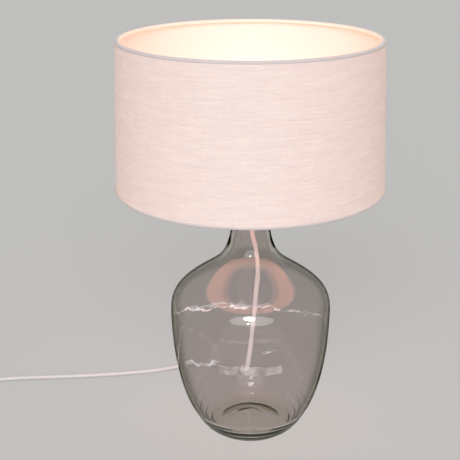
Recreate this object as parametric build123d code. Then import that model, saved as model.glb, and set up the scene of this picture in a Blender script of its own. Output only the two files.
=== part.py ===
from build123d import *
import math
import os

os.makedirs("parts", exist_ok=True)

# Table lamp: a glass bottle base, a drum shade on an E27 lampholder, a mains lead with an
# in-line switch and a two-pin plug. Millimetres, +Z up, origin on the table at the centre
# of the foot, front towards -Y.

# Driving dimensions -----------------------------------------------------------------
LAMP_HEIGHT = 466.0
SHADE_RADIUS = 150.0
SHADE_TOP_RADIUS = 144.0
SHADE_HEIGHT = 165.5
FOOT_RADIUS = 44.5
BELLY_RADIUS = 92.4
BELLY_HEIGHT = 145.0
NECK_RADIUS = 22.0
MOUTH_HEIGHT = 287.0
GLASS_WALL = 3.0
CORD_DIAMETER = 5.4
SWITCH_PLACE = (-393.0, -40.0)
COIL_PLACE = (-355.4, -179.0)
PLUG_PLACE = (-229.4, -216.6)

# Sizes that follow or are standard --------------------------------------------------
CORD_R = CORD_DIAMETER / 2
CORD_BORE = CORD_R + 0.05
ON_TABLE = CORD_R + 0.05
CORE_R = 0.8
NIPPLE_R = 5.0
NIPPLE_BORE = 4.0
THREAD_FIT = 0.05
SHADE_BOTTOM = LAMP_HEIGHT - SHADE_HEIGHT
BASE = (Align.CENTER, Align.CENTER, Align.MIN)

# Heights of the stack above the bottle's mouth
CAP_SEAT = MOUTH_HEIGHT + 2.0
CAP_TOP = CAP_SEAT + 2.0
HOLDER_BOTTOM = CAP_TOP + 4.2
CAVITY_FLOOR = HOLDER_BOTTOM + 7.0
CORE_BOTTOM = HOLDER_BOTTOM + 17.0
SKIRT_BOTTOM = HOLDER_BOTTOM + 26.0
SKIRT_TOP = SKIRT_BOTTOM + 29.0
FLANGE_TOP = SKIRT_BOTTOM + 2.0
HUB_BOTTOM = FLANGE_TOP + 0.08
HUB_TOP = HUB_BOTTOM + 1.2
CLAMP_BOTTOM = HUB_TOP + 0.08
SKIRT_R = 19.8
RUNNING = 0.08

# Bulb
SHELL_BORE = 13.22
CAP_CREST = 13.15
CAP_ROOT = 12.1
THREAD_PITCH = 3.62
BULB_TIP = SKIRT_BOTTOM + 7.0
BULB_R = 30.0
BULB_TOP = BULB_TIP + 105.0
CAP_LOW = BULB_TIP + 3.4
CAP_HIGH = CAP_LOW + 6 * THREAD_PITCH
GLASS_LOW = CAP_HIGH + 0.6


def save(name, shape):
    """Write one piece to its own STEP file."""
    export_step(shape, f"parts/{name}.step")


def ring(outer, bore, low, high):
    """A cylinder about the lamp's axis from low to high, with a bore unless bore is 0."""
    body = Pos(0, 0, low) * Cylinder(outer, high - low, align=BASE)
    if bore:
        body -= Pos(0, 0, low - 1) * Cylinder(bore, high - low + 2, align=BASE)
    return body


def lathe(*corners):
    """A turned piece: a closed outline of (radius, height) corners, revolved about Z."""
    outline = Polyline(*[(r, 0, z) for r, z in corners], close=True)
    return revolve(make_face(outline), Axis.Z)


def turned(*edges):
    """A turned piece from edges that close an outline in the XZ plane."""
    return revolve(make_face(edges), Axis.Z)


def rod(start, end, radius):
    """A round rod between two points."""
    return Plane(origin=start, z_dir=end - start) * Cylinder(radius, (end - start).length, align=BASE)


def hexagon_nut(across_flats, bore, low, high):
    """A hexagon nut about the lamp's axis."""
    blank = extrude(RegularPolygon(across_flats / 2, 6, major_radius=False), high - low)
    return Pos(0, 0, low) * blank - ring(bore, 0, low - 1, high + 1)


def corner_radii(points):
    """The arc at each corner of a route, as large as its two runs allow."""
    radii = []
    for before, here, after in zip(points, points[1:], points[2:]):
        run_in = Vector(*here) - Vector(*before)
        run_out = Vector(*after) - Vector(*here)
        half_turn = math.radians(run_in.get_angle(run_out)) / 2
        shorter = min(run_in.length, run_out.length)
        radii.append(0.45 * shorter / math.tan(half_turn))
    return radii


def tube(name, points, radius):
    """A round cord along straight runs joined by tangent arcs."""
    radii = corner_radii(points)
    path = FilletPolyline(*points, radius=radii)
    start = Plane(origin=path @ 0, z_dir=path % 0)
    body = sweep(start * Circle(radius), path=path)
    expected = math.pi * radius**2 * path.length
    print(f"{name}: {path.length:.1f} mm, volume ratio {body.volume / expected:.4f},",
          f"radii {', '.join(f'{r:.0f}' for r in radii)}")
    return body


# Glass base -------------------------------------------------------------------------
WALL_SHARES = [
    (0.618, 0.069),
    (0.778, 0.235),
    (0.894, 0.448),
    (0.974, 0.738),
    (1.0, 1.0),
    (0.974, 1.165),
    (0.803, 1.297),
    (0.469, 1.448),
    (0.3225, 1.552),
]


def wall_line():
    """The bottle's outer wall from the foot to the neck."""
    points = [(share_r * BELLY_RADIUS, 0, share_z * BELLY_HEIGHT) for share_r, share_z in WALL_SHARES]
    return Spline(
        (FOOT_RADIUS, 0, 0),
        *points,
        (NECK_RADIUS + 0.9, 0, MOUTH_HEIGHT - 40),
        (NECK_RADIUS, 0, MOUTH_HEIGHT - 24),
        tangents=[(1, 0, 0.68), (0, 0, 1)],
    )


def inside_of(line, share, depth):
    """The point at a share of the wall's length, moved into the bottle by depth."""
    along = line % share
    return line @ share + Vector(-along.Z, 0, along.X) * depth


HOLE_SHARE = 0.142
HOLE_BEARING = 95.6
CORD_SPLIT = 12.0
HOLE_R = 5.1


def hole_plane():
    """A frame on the outer wall at the cord hole, with Z straight out of the glass."""
    line = wall_line()
    out = inside_of(line, HOLE_SHARE, -1.0) - line @ HOLE_SHARE
    return Rot(0, 0, HOLE_BEARING) * Plane(origin=line @ HOLE_SHARE, z_dir=out).location


def glass_bottle():
    outer = wall_line()
    shares = [0.06, 0.12, 0.22, 0.34, 0.46, 0.56, 0.66, 0.75, 0.84, 0.92, 1.0]
    wall = Spline(*[inside_of(outer, share, GLASS_WALL) for share in shares])
    punt = ThreePointArc((0, 0, 6), (20, 0, 4.2), (FOOT_RADIUS - 8, 0, 0))
    floor = Spline((0, 0, 13), (36, 0, 10.5), wall @ 0, tangents=[(1, 0, 0), wall % 0])
    lip_low = MOUTH_HEIGHT - 10
    lip = ThreePointArc(
        (NECK_RADIUS, 0, lip_low), (NECK_RADIUS + 3, 0, lip_low + 5), (NECK_RADIUS, 0, MOUTH_HEIGHT)
    )
    bore = NECK_RADIUS - GLASS_WALL
    bottle = turned(
        Line((0, 0, 13), (0, 0, 6)),
        punt,
        Line(punt @ 1, outer @ 0),
        outer,
        Line(outer @ 1, lip @ 0),
        lip,
        Line(lip @ 1, (bore, 0, MOUTH_HEIGHT)),
        Line((bore, 0, MOUTH_HEIGHT), wall @ 1),
        wall,
        floor,
    )
    return bottle - hole_plane() * Cylinder(HOLE_R, 20)


def cord_grommet():
    """A flanged bush through the wall, with a tapered nose outside that relieves the cord."""
    body = Pos(0, 0, -5.0) * Cylinder(7.0, 1.5, align=BASE)
    body += Pos(0, 0, -3.6) * Cylinder(HOLE_R - 0.1, 3.8, align=BASE)
    body += Pos(0, 0, 0.15) * Cylinder(7.5, 1.85, align=BASE)
    body += Pos(0, 0, 2.0) * Cone(4.8, 3.5, 20, align=BASE)
    return hole_plane() * (body - Cylinder(CORD_BORE, 60))


# Neck fitting -----------------------------------------------------------------------
PLUG_LOW = MOUTH_HEIGHT - 16
WASHER_LOW = PLUG_LOW - 2.02
NUT_LOW = WASHER_LOW - 4.05
NIPPLE_LOW = NUT_LOW - 3.0


def neck_plug():
    bore = NECK_RADIUS - GLASS_WALL
    plug = ring(bore - 0.1, 0, PLUG_LOW, MOUTH_HEIGHT + 0.05)
    plug += ring(NECK_RADIUS - 0.5, 0, MOUTH_HEIGHT + 0.05, CAP_SEAT - 0.02)
    return plug - ring(NIPPLE_R + THREAD_FIT, 0, PLUG_LOW - 1, CAP_TOP)


def bottle_cap():
    """A spun metal cap over the lip of the bottle."""
    rim = NECK_RADIUS + 4.5
    inside = NECK_RADIUS + 3.4
    cap = ring(rim, 0, MOUTH_HEIGHT - 12, CAP_TOP)
    cap = fillet(cap.edges().group_by(Axis.Z)[-1], 1.4)
    cap -= ring(inside, 0, MOUTH_HEIGHT - 13, CAP_SEAT)
    return cap - ring(NIPPLE_R + THREAD_FIT, 0, MOUTH_HEIGHT, CAP_TOP + 1)


def clamp_washer():
    return ring(15, NIPPLE_R + THREAD_FIT, WASHER_LOW, WASHER_LOW + 2)


def lock_nuts():
    """Two M10 nuts: one pulls the plug up from below, one holds the cap from above."""
    below = hexagon_nut(14, NIPPLE_R + 0.02, NUT_LOW, NUT_LOW + 4)
    above = hexagon_nut(14, NIPPLE_R + 0.02, CAP_TOP + 0.05, CAP_TOP + 4.05)
    return Compound(children=[below, above])


def threaded_nipple():
    return ring(NIPPLE_R, NIPPLE_BORE, NIPPLE_LOW, CAVITY_FLOOR + 1)


def nipple_bush():
    """A plastic bush that keeps the nipple's lower edge off the cord."""
    rim = NIPPLE_LOW - 0.05
    bush = ring(NIPPLE_BORE - 0.05, 0, rim, rim + 9) + ring(NIPPLE_R + 0.6, 0, rim - 1.2, rim)
    return bush - ring(CORD_BORE, 0, rim - 2, rim + 10)


# Lampholder -------------------------------------------------------------------------
def holder_base():
    """The lower cup of the lampholder, screwed on the nipple."""
    low = HOLDER_BOTTOM
    shoulder = Spline(
        (9, 0, low + 3), (16.6, 0, low + 6.6), (19.3, 0, low + 13.5), tangents=[(1, 0, 0.1), (0, 0, 1)]
    )
    inside = Spline(
        (12, 0, low + 7), (16, 0, low + 9), (17.3, 0, low + 13.5), tangents=[(1, 0, 0), (0, 0, 1)]
    )
    top = SKIRT_BOTTOM - 0.02
    bore = NIPPLE_R + 0.02
    cup = turned(
        Line((bore, 0, low), (9, 0, low)),
        Line((9, 0, low), shoulder @ 0),
        shoulder,
        Line(shoulder @ 1, (19.3, 0, top)),
        Line((19.3, 0, top), (17.3, 0, top)),
        Line((17.3, 0, top), inside @ 1),
        inside,
        Line(inside @ 0, (bore, 0, CAVITY_FLOOR)),
        Line((bore, 0, CAVITY_FLOOR), (bore, 0, low)),
    )
    return cup - Pos(0, 7, low + 1.8) * Rot(90, 0, 0) * Cylinder(1.25, 8)


def locking_screw():
    """The grub screw that stops the lampholder turning on the nipple."""
    screw = Cylinder(1.2, 3.6) - Pos(0, 0, 1.6) * Box(2.6, 0.5, 0.8)
    return Pos(0, NIPPLE_R + 0.1 + 1.8, HOLDER_BOTTOM + 1.8) * Rot(-90, 0, 0) * screw


def holder_skirt():
    """The upper part of the lampholder: a threaded barrel on a flange that carries the shade."""
    skirt = ring(22, 0, SKIRT_BOTTOM, FLANGE_TOP) + ring(SKIRT_R, 0, FLANGE_TOP, SKIRT_TOP)
    for turn in range(9):
        groove_low = FLANGE_TOP + 8.6 + turn * 2.0
        skirt -= ring(SKIRT_R + 1, SKIRT_R - 0.6, groove_low, groove_low + 0.9)
    skirt -= ring(14.6, 0, SKIRT_BOTTOM + 3, SKIRT_TOP + 1)
    return skirt - ring(17.0, 0, SKIRT_BOTTOM - 1, SKIRT_BOTTOM + 3.2)


def contact_core():
    """The insulating core that carries the contacts and terminals."""
    core = ring(16.5, 0, CORE_BOTTOM, SKIRT_BOTTOM + 1.5)
    core += ring(14.0, 0, SKIRT_BOTTOM + 1.5, SKIRT_BOTTOM + 3.2)
    for side in (-1, 1):
        core -= Pos(side * 10, 5, CORE_BOTTOM) * Cylinder(1.6, 30)
    return core


def screw_shell():
    low = SKIRT_BOTTOM + 3.25
    tube = ring(SHELL_BORE + 0.5, SHELL_BORE, low, SKIRT_TOP - 2)
    return tube + ring(SHELL_BORE + 0.4, 9.5, low, low + 0.5)


def centre_contact():
    """A sprung strip under the bulb's tip."""
    low = SKIRT_BOTTOM + 3.25
    strip = Pos(-4.2, 0, low + 0.3) * Box(7.4, 5, 0.6)
    strip += Pos(0, 0, low + 1.6) * Rot(0, -18, 0) * Box(7.6, 5, 0.6)
    return strip


def side_contact():
    """A tab riveted to the core that touches the outside of the screw shell."""
    return Pos(14.1, 0, SKIRT_BOTTOM + 6.2) * Box(0.6, 4, 5.8)


def holder_terminals():
    blocks = []
    for side in (-1, 1):
        block = Pos(side * 10, 0, CORE_BOTTOM - 3.3) * Box(6, 6, 6.5)
        blocks.append(block - Pos(side * 11.5, 0, CORE_BOTTOM - 3.3) * Rot(0, 90, 0) * Cylinder(1.3, 4))
    return Compound(children=blocks)


def holder_terminal_screws():
    screws = []
    for side in (-1, 1):
        screw = Pos(0, 0, -3) * Cylinder(1.25, 3, align=BASE)
        screw += Pos(0, 0, 0.05) * Cylinder(2.1, 1.5, align=BASE)
        screw += Pos(0, 0, -0.1) * Cylinder(1.25, 0.3, align=BASE)
        screw -= Pos(0, 0, 1.4) * Box(5, 0.6, 0.8)
        screws.append(Pos(side * 13, 0, CORE_BOTTOM - 3.3) * Rot(0, side * 90, 0) * screw)
    return Compound(children=screws)


SHEATH_END = CAVITY_FLOOR - 2.2


def holder_core(side):
    """One insulated core from the end of the sheath to its terminal, side -1 or 1."""
    level = CORE_BOTTOM - 3.3
    route = [(side * 1.3, 0, SHEATH_END), (side * 1.3, 0, level), (side * 7, 0, level)]
    path = FilletPolyline(*route, radius=2.2)
    start = Plane(origin=path @ 0, z_dir=path % 0)
    return sweep(start * Circle(CORE_R), path=path)


# Shade ------------------------------------------------------------------------------
FABRIC_INSET = 0.6
LINER_INSET = FABRIC_INSET + 0.75
WIRE_R = 1.5
RING_INSET = LINER_INSET + 0.6 + WIRE_R


def shade_radius(height):
    """The shade's outer radius at a height."""
    up = (height - SHADE_BOTTOM) / SHADE_HEIGHT
    return SHADE_RADIUS + (SHADE_TOP_RADIUS - SHADE_RADIUS) * up


def shade_sheet(inset, thick):
    """One tapered sheet of the shade, its outer face inset from the shade's outline."""
    low = SHADE_BOTTOM + 0.6
    high = LAMP_HEIGHT - 0.6
    bottom = shade_radius(low) - inset
    top = shade_radius(high) - inset
    return lathe((bottom, low), (top, high), (top - thick, high), (bottom - thick, low))


def shade_trim(edge, inwards):
    """A rolled edge of folded fabric, from the edge's height, inwards +1 up or -1 down."""
    tall = 5.0
    thick = 0.5
    far = edge + inwards * tall
    near = edge + inwards * thick
    inner = shade_radius(edge) - RING_INSET - WIRE_R - 0.7
    return lathe(
        (shade_radius(edge), edge),
        (shade_radius(far), far),
        (shade_radius(far) - thick, far),
        (shade_radius(near) - thick, near),
        (inner + thick, near),
        (inner + thick, far),
        (inner, far),
        (inner, edge),
    )


def wire_ring(height):
    return Pos(0, 0, height) * Torus(shade_radius(height) - RING_INSET, WIRE_R)


ARM_END = (SHADE_RADIUS - RING_INSET - 0.1, SHADE_BOTTOM + 3.2)
ARM_START = (25.2, (HUB_BOTTOM + HUB_TOP) / 2)
ARM_BEARINGS = (30, 150, 270)


def spider_hub():
    return ring(27, SKIRT_R + RUNNING, HUB_BOTTOM, HUB_TOP)


def arm_wire(radius):
    """One straight wire from the hub to the bottom ring, along +X."""
    start = Vector(ARM_START[0], 0, ARM_START[1])
    end = Vector(ARM_END[0], 0, ARM_END[1])
    return rod(start, end, radius)


def spider_arms():
    """Three round wires from the hub down to the bottom ring."""
    return Compound(children=[Rot(0, 0, bearing) * arm_wire(1.7) for bearing in ARM_BEARINGS])


def bottom_trim():
    """The lower rolled edge, cut out where the three arms pass through it."""
    trim = shade_trim(SHADE_BOTTOM, 1)
    for bearing in ARM_BEARINGS:
        trim -= Rot(0, 0, bearing) * arm_wire(1.8)
    return trim


def clamp_ring():
    """The threaded ring that clamps the shade's hub, with finger notches round its edge."""
    body = ring(24.5, SKIRT_R + RUNNING, CLAMP_BOTTOM, CLAMP_BOTTOM + 6)
    for notch in range(18):
        body -= Rot(0, 0, notch * 20) * Pos(24.9, 0, CLAMP_BOTTOM + 3) * Cylinder(1.1, 8)
    return body


# Bulb -------------------------------------------------------------------------------
def bulb_envelope():
    """The opal glass of a 60 mm bulb, with its neck cemented in the cap."""
    centre = BULB_TOP - BULB_R
    thick = 1.0
    neck = 11.0

    def half(inset):
        low = Spline(
            (neck - inset, 0, GLASS_LOW - 4),
            (neck + 1.6 - inset, 0, GLASS_LOW + 9),
            (BULB_R - inset, 0, centre),
            tangents=[(0, 0, 1), (0, 0, 1)],
        )
        round_off = (BULB_R - inset) * math.sqrt(0.5)
        crown = ThreePointArc(
            (BULB_R - inset, 0, centre), (round_off, 0, centre + round_off), (0, 0, BULB_TOP - inset)
        )
        return low, crown

    outer_low, outer_crown = half(0)
    inner_low, inner_crown = half(thick)
    return turned(
        outer_low,
        outer_crown,
        Line(outer_crown @ 1, inner_crown @ 1),
        inner_crown,
        inner_low,
        Line(inner_low @ 0, outer_low @ 0),
    )


def bulb_cap():
    """The E27 screw cap, its thread as plain rounded rings."""
    edges = []
    for turn in range(6):
        low = CAP_LOW + turn * THREAD_PITCH
        middle = low + THREAD_PITCH / 2
        high = low + THREAD_PITCH
        mean = (CAP_CREST + CAP_ROOT) / 2
        edges.append(ThreePointArc((mean, 0, low), (CAP_ROOT, 0, (low + middle) / 2), (mean, 0, middle)))
        edges.append(ThreePointArc((mean, 0, middle), (CAP_CREST, 0, (middle + high) / 2), (mean, 0, high)))
    bore = CAP_ROOT - 0.5
    edges.append(Line((mean, 0, CAP_HIGH), (bore, 0, CAP_HIGH)))
    edges.append(Line((bore, 0, CAP_HIGH), (bore, 0, CAP_LOW + 0.5)))
    edges.append(Line((bore, 0, CAP_LOW + 0.5), (7.4, 0, CAP_LOW - 1.2)))
    edges.append(Line((7.4, 0, CAP_LOW - 1.2), (7.4, 0, CAP_LOW - 1.7)))
    edges.append(Line((7.4, 0, CAP_LOW - 1.7), (mean, 0, CAP_LOW)))
    return turned(*edges)


def bulb_insulator():
    return lathe(
        (0, BULB_TIP + 0.8), (4.8, BULB_TIP + 0.8), (7.35, CAP_LOW - 1.7), (7.35, CAP_LOW - 0.6),
        (0, CAP_LOW - 0.6),
    )


def bulb_contact():
    top = BULB_TIP + 0.78
    return lathe((0, BULB_TIP), (3.2, BULB_TIP), (4.6, BULB_TIP + 0.5), (4.6, top), (0, top))


STEM_TOP = GLASS_LOW + 32


def bulb_stem():
    return lathe(
        (0, GLASS_LOW), (8.5, GLASS_LOW), (8.0, GLASS_LOW + 1.5), (3.0, GLASS_LOW + 7), (2.2, STEM_TOP),
        (0, STEM_TOP),
    )


def filament_ends(corner):
    """The lower and upper end of one filament, corner 0 to 3."""
    bearing = math.radians(45 + 90 * corner)
    low = Vector(11 * math.cos(bearing), 11 * math.sin(bearing), GLASS_LOW + 9)
    high = Vector(6 * math.cos(bearing), 6 * math.sin(bearing), GLASS_LOW + 45)
    return low, high


def filaments():
    """Four straight LED filaments, each between the lower and the upper wire."""
    rods = []
    for corner in range(4):
        low, high = filament_ends(corner)
        inset = (high - low).normalized() * 0.6
        rods.append(rod(low + inset, high - inset, 0.9))
    return Compound(children=rods)


def filament_wires():
    """The wires that carry the filaments, welded into one frame on the glass stem."""
    top = Vector(0, 0, GLASS_LOW + 45)
    frame = rod(Vector(0, 0, STEM_TOP + 0.02), top + Vector(0, 0, 0.3), 0.5)
    lower = []
    for corner in range(4):
        low, high = filament_ends(corner)
        frame += rod(top, high, 0.35)
        inner = Vector(low.X * 0.32, low.Y * 0.32, low.Z)
        lower.append(rod(inner, low, 0.35))
    return Compound(children=[frame, *lower])


# Mains lead -------------------------------------------------------------------------
def hole_point(distance):
    """A point on the cord hole's axis, at a distance outside the glass."""
    place = hole_plane() * Pos(0, 0, distance)
    return tuple(place.position)


def cord_inside():
    """The lead inside the bottle, hanging from the nipple and leaving by the hole."""
    route = [
        (0, 0, SHEATH_END),
        (0, 0, NIPPLE_LOW - 14),
        (7.6, 3, 222),
        (9.2, 7, 193),
        (6.6, 12, 167),
        (5.4, 19, 141),
        (2.4, 26, 115),
        (0.8, 33, 93),
        (-1.6, 38.6, 72),
        (-4.0, 45.5, 52.5),
        hole_point(-13.0),
        hole_point(CORD_SPLIT),
    ]
    return tube("cord_inside", route, CORD_R)


def cord_to_switch():
    """The lead across the table from the bottle to the switch."""
    route = [
        hole_point(CORD_SPLIT),
        hole_point(34.0),
        (-17, 122, 8.5),
        (-31, 138, ON_TABLE),
        (-56, 149.5, ON_TABLE),
        (-86, 146, ON_TABLE),
        (-122, 130.5, ON_TABLE),
        (-160, 122.5, ON_TABLE),
        (-208, 115.4, ON_TABLE),
        (-262, 111, ON_TABLE),
        (-320, 107.5, ON_TABLE),
        (-371, 92, ON_TABLE),
        (SWITCH_PLACE[0], SWITCH_PLACE[1] + FREE_FROM, SWITCH_AXIS),
        (SWITCH_PLACE[0], SWITCH_PLACE[1] + CORD_STOP, SWITCH_AXIS),
    ]
    return tube("cord_to_switch", route, CORD_R)


def cord_to_coil():
    """The lead from the switch into the lowest turn of the coil."""
    route = [
        (SWITCH_PLACE[0], SWITCH_PLACE[1] - CORD_STOP, SWITCH_AXIS),
        (SWITCH_PLACE[0], SWITCH_PLACE[1] - FREE_FROM, SWITCH_AXIS),
        (COIL_PLACE[0] - COIL_TURNS[-1], COIL_PLACE[1] + 1, COIL_LIFT + CORD_R),
    ]
    return tube("cord_to_coil", route, CORD_R)


def cord_to_plug():
    """The lead from the top turn of the coil down to the plug."""
    top = COIL_LIFT + 3 * CORD_R
    off_coil = COIL_PLACE[1] - COIL_TURNS[-1]
    route = [
        (COIL_PLACE[0] + 2, off_coil, top),
        (COIL_PLACE[0] + 29, off_coil, 5.2),
        (PLUG_PLACE[0] - 75, PLUG_PLACE[1], ON_TABLE),
        (PLUG_PLACE[0] - 54, PLUG_PLACE[1], PLUG_AXIS),
        (PLUG_PLACE[0] - 19.5, PLUG_PLACE[1], PLUG_AXIS),
    ]
    return tube("cord_to_plug", route, CORD_R)


COIL_TURNS = (26.8, 32.2, 37.6)
COIL_LIFT = 0.6
TIE_BEARING = 60


def cord_coil():
    """The outer shape of five and a quarter turns, three wide and two high."""
    high = COIL_LIFT + 2 * CORD_DIAMETER
    return Pos(*COIL_PLACE, 0) * ring(COIL_TURNS[-1] + CORD_R, COIL_TURNS[0] - CORD_R, COIL_LIFT, high)


def cord_tie():
    """A flat tie round the turns of the coil."""
    thick = 0.5
    gap = 0.05
    wide = 3 * CORD_DIAMETER + 2.5
    high = 2 * CORD_DIAMETER + 2 * gap
    loop = Box(wide + 2 * thick, 5, high + 2 * thick) - Box(wide, 6, high)
    lift = COIL_LIFT - gap + high / 2
    return Pos(*COIL_PLACE, 0) * Rot(0, 0, TIE_BEARING) * Pos(COIL_TURNS[1], 0, lift) * loop


# In-line switch, built along X about its own centre, then turned to lie along Y ------
SWITCH_LENGTH = 66.0
SWITCH_WIDTH = 27.0
SWITCH_HEIGHT = 18.0
SWITCH_WALL = 1.8
SWITCH_AXIS = 8.5
CORD_STOP = 24.5
RELIEF_END = 55.0
FREE_FROM = 81.0
ROCKER_PIVOT = 13.5
ROCKER_TILT = 7.0
LEVER_PIVOT = 5.2
LEVER_TILT = 5.0
TERMINAL_SPOTS = [(x, y) for x in (-19, 19) for y in (-3.6, 3.6)]
CLAMP_SPOTS = [(x, y) for x in (-27.5, 27.5) for y in (-5.2, 5.2)]
SCREW_SPOTS = [(-12.5, 8.8), (12.5, -8.8)]


def at_switch(shape):
    return Pos(*SWITCH_PLACE, 0) * Rot(0, 0, 90) * shape


def switch_blank(inset, low, high):
    """A block with the switch's rounded plan, smaller all round by inset."""
    plan = RectangleRounded(SWITCH_LENGTH - 2 * inset, SWITCH_WIDTH - 2 * inset, 12 - inset)
    return Pos(0, 0, low) * extrude(plan, high - low)


def relief_holes():
    """The two notches for the strain reliefs, on the parting line."""
    hole = Pos(0, 0, SWITCH_AXIS) * Rot(0, 90, 0) * Cylinder(4.2, SWITCH_LENGTH + 10)
    return hole - Box(50, 20, 60)


def switch_base():
    body = switch_blank(0, 0, SWITCH_AXIS)
    body = fillet(body.edges().group_by(Axis.Z)[0], 2.0)
    body -= switch_blank(SWITCH_WALL, SWITCH_WALL, SWITCH_AXIS + 1)
    for x, y in CLAMP_SPOTS:
        body += Pos(x, y, SWITCH_WALL) * Cylinder(2.0, SWITCH_AXIS - SWITCH_WALL, align=BASE)
        body -= Pos(x, y, 4) * Cylinder(1.05, 10, align=BASE)
    for x, y in SCREW_SPOTS:
        body += Pos(x, y, SWITCH_WALL) * Cylinder(2.6, SWITCH_AXIS - SWITCH_WALL - 0.05, align=BASE)
        body -= Pos(x, y, -1) * Cylinder(1.55, 20, align=BASE)
        body -= Pos(x, y, -1) * Cylinder(2.5, 2.6, align=BASE)
    return at_switch(body - relief_holes())


def switch_cover():
    body = switch_blank(0, SWITCH_AXIS, SWITCH_HEIGHT)
    body = fillet(body.edges().group_by(Axis.Z)[-1], 4.0)
    inner = switch_blank(SWITCH_WALL, SWITCH_AXIS - 1, SWITCH_HEIGHT - SWITCH_WALL)
    inner = fillet(inner.edges().group_by(Axis.Z)[-1], 2.4)
    body -= inner
    body -= Box(22.4, 13.4, 80)
    for side in (-1, 1):
        rib = Pos(0, side * 7.65, 13.6) * Box(7, 1.5, 5.4)
        body += rib - Pos(0, 0, ROCKER_PIVOT) * Rot(90, 0, 0) * Cylinder(1.55, 40)
    for x, y in SCREW_SPOTS:
        boss = Pos(x, y, SWITCH_AXIS) * Cylinder(2.6, SWITCH_HEIGHT - SWITCH_AXIS - 1, align=BASE)
        body += boss - Pos(x, y, SWITCH_AXIS - 1) * Cylinder(1.25, 8, align=BASE)
    return at_switch(body - relief_holes())


def tilted(shape, height, angle):
    """Tilt a shape about a Y axis at a height, in the switch's own frame."""
    return Pos(0, 0, height) * Rot(0, angle, 0) * Pos(0, 0, -height) * shape


def switch_rocker():
    """The rocker in its on position, with its pivot pins and the tube for the plunger."""
    body = Pos(0, 0, 15.3) * Box(20.4, 12.8, 8.4)
    body = fillet(body.edges().group_by(Axis.Z)[-1], 1.2)
    for side in (-1, 1):
        body -= Pos(side * 13.2, 0, 27.4) * Rot(90, 0, 0) * Cylinder(10, 20)
        for line in range(3):
            body -= Pos(side * (5.2 + line * 1.3), 0, 18.2) * Box(0.4, 9, 1)
    body -= Pos(0, 0, 11.6) * (Box(17.6, 10, 3) - Cylinder(2.8, 10))
    body += Pos(0, 0, 8.8) * Cylinder(2.8, 4, align=BASE)
    body -= Pos(0, 0, 8) * Cylinder(1.75, 7, align=BASE)
    body += Pos(0, 0, ROCKER_PIVOT) * Rot(90, 0, 0) * (Cylinder(1.5, 16.2) - Cylinder(3, 9))
    return at_switch(tilted(body, ROCKER_PIVOT, -ROCKER_TILT))


def rocker_plunger():
    body = Pos(0, 0, 7.6) * Cylinder(1.1, 2.4, align=BASE) + Pos(0, 0, 9.4) * Cylinder(1.65, 1.4, align=BASE)
    body += Pos(0, 0, 7.9) * Sphere(1.1)
    return at_switch(tilted(body, ROCKER_PIVOT, -ROCKER_TILT))


def plunger_spring():
    coil = Helix(pitch=0.95, height=3.8, radius=1.2)
    wire = sweep(Plane(origin=coil @ 0, z_dir=coil % 0) * Circle(0.22), path=coil)
    return at_switch(tilted(Pos(0, 0, 11.05) * wire, ROCKER_PIVOT, -ROCKER_TILT))


def contact_lever():
    """The see-saw contact that the plunger tips."""
    body = Pos(0, 0, LEVER_PIVOT + 1.1) * Box(17, 4, 0.6)
    body += Pos(0, 0, LEVER_PIVOT) * Rot(90, 0, 0) * Cylinder(1.35, 4.2)
    for side in (-1, 1):
        body += Pos(side * 7.6, 0, LEVER_PIVOT + 0.6) * Cylinder(1.3, 0.6)
    body -= Pos(0, 0, LEVER_PIVOT) * Rot(90, 0, 0) * Cylinder(0.88, 20)
    return at_switch(tilted(body, LEVER_PIVOT, LEVER_TILT))


def terminal(x, y):
    block = Pos(x, y, SWITCH_WALL) * Box(7, 6, 8.7, align=BASE)
    return block - Pos(x, y, 4) * Cylinder(1.3, 20, align=BASE)


def lever_bracket():
    """The live inlet: its terminal, a strip and the cheeks and pin that the lever tips on."""
    body = terminal(-19, 3.6)
    body += Pos(-7, 2.0, SWITCH_WALL) * Box(20, 2.8, 0.8, align=BASE)
    body += Pos(0, 0, SWITCH_WALL) * Box(5, 6.8, 0.8, align=BASE)
    for side in (-1, 1):
        body += Pos(0, side * 2.9, SWITCH_WALL) * Box(3, 0.8, 4.6, align=BASE)
    body += Pos(0, 0, LEVER_PIVOT) * Rot(90, 0, 0) * Cylinder(0.8, 6)
    return at_switch(body)


def fixed_contact():
    """The live outlet: the contact that the lever lands on, a strip and its terminal."""
    body = terminal(19, 3.6)
    body += Pos(11.5, 2.0, SWITCH_WALL) * Box(10, 2.8, 0.8, align=BASE)
    body += Pos(8, 0, SWITCH_WALL) * Box(3, 3, 2.7, align=BASE)
    return at_switch(body)


def neutral_bar():
    body = terminal(-19, -3.6) + terminal(19, -3.6)
    return at_switch(body + Pos(0, -4.6, SWITCH_WALL) * Box(34, 1.6, 2.4, align=BASE))


def slotted_screw(head, shank, length):
    """A cheese-head screw, its head on z = 0 and its shank below."""
    body = Cylinder(head, 1.3, align=BASE) + Pos(0, 0, -length) * Cylinder(shank, length, align=BASE)
    return body - Pos(0, 0, 1.1) * Box(3 * head, 0.5, 0.6)


def screws_at(spots, height, head, shank, length):
    screws = [Pos(x, y, height) * slotted_screw(head, shank, length) for x, y in spots]
    return at_switch(Compound(children=screws))


def cover_screws():
    screws = [Pos(x, y, 1.55) * Rot(180, 0, 0) * slotted_screw(2.3, 1.2, 12) for x, y in SCREW_SPOTS]
    return at_switch(Compound(children=screws))


def cord_clamps():
    bars = []
    for side in (-1, 1):
        bar = Pos(side * 27.5, 0, SWITCH_AXIS + CORD_R + 0.05) * Box(4, 14, 1.8, align=BASE)
        for end in (-1, 1):
            bar -= Pos(side * 27.5, end * 5.2, 0) * Cylinder(1.1, 60)
        bars.append(bar)
    return at_switch(Compound(children=bars))


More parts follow.
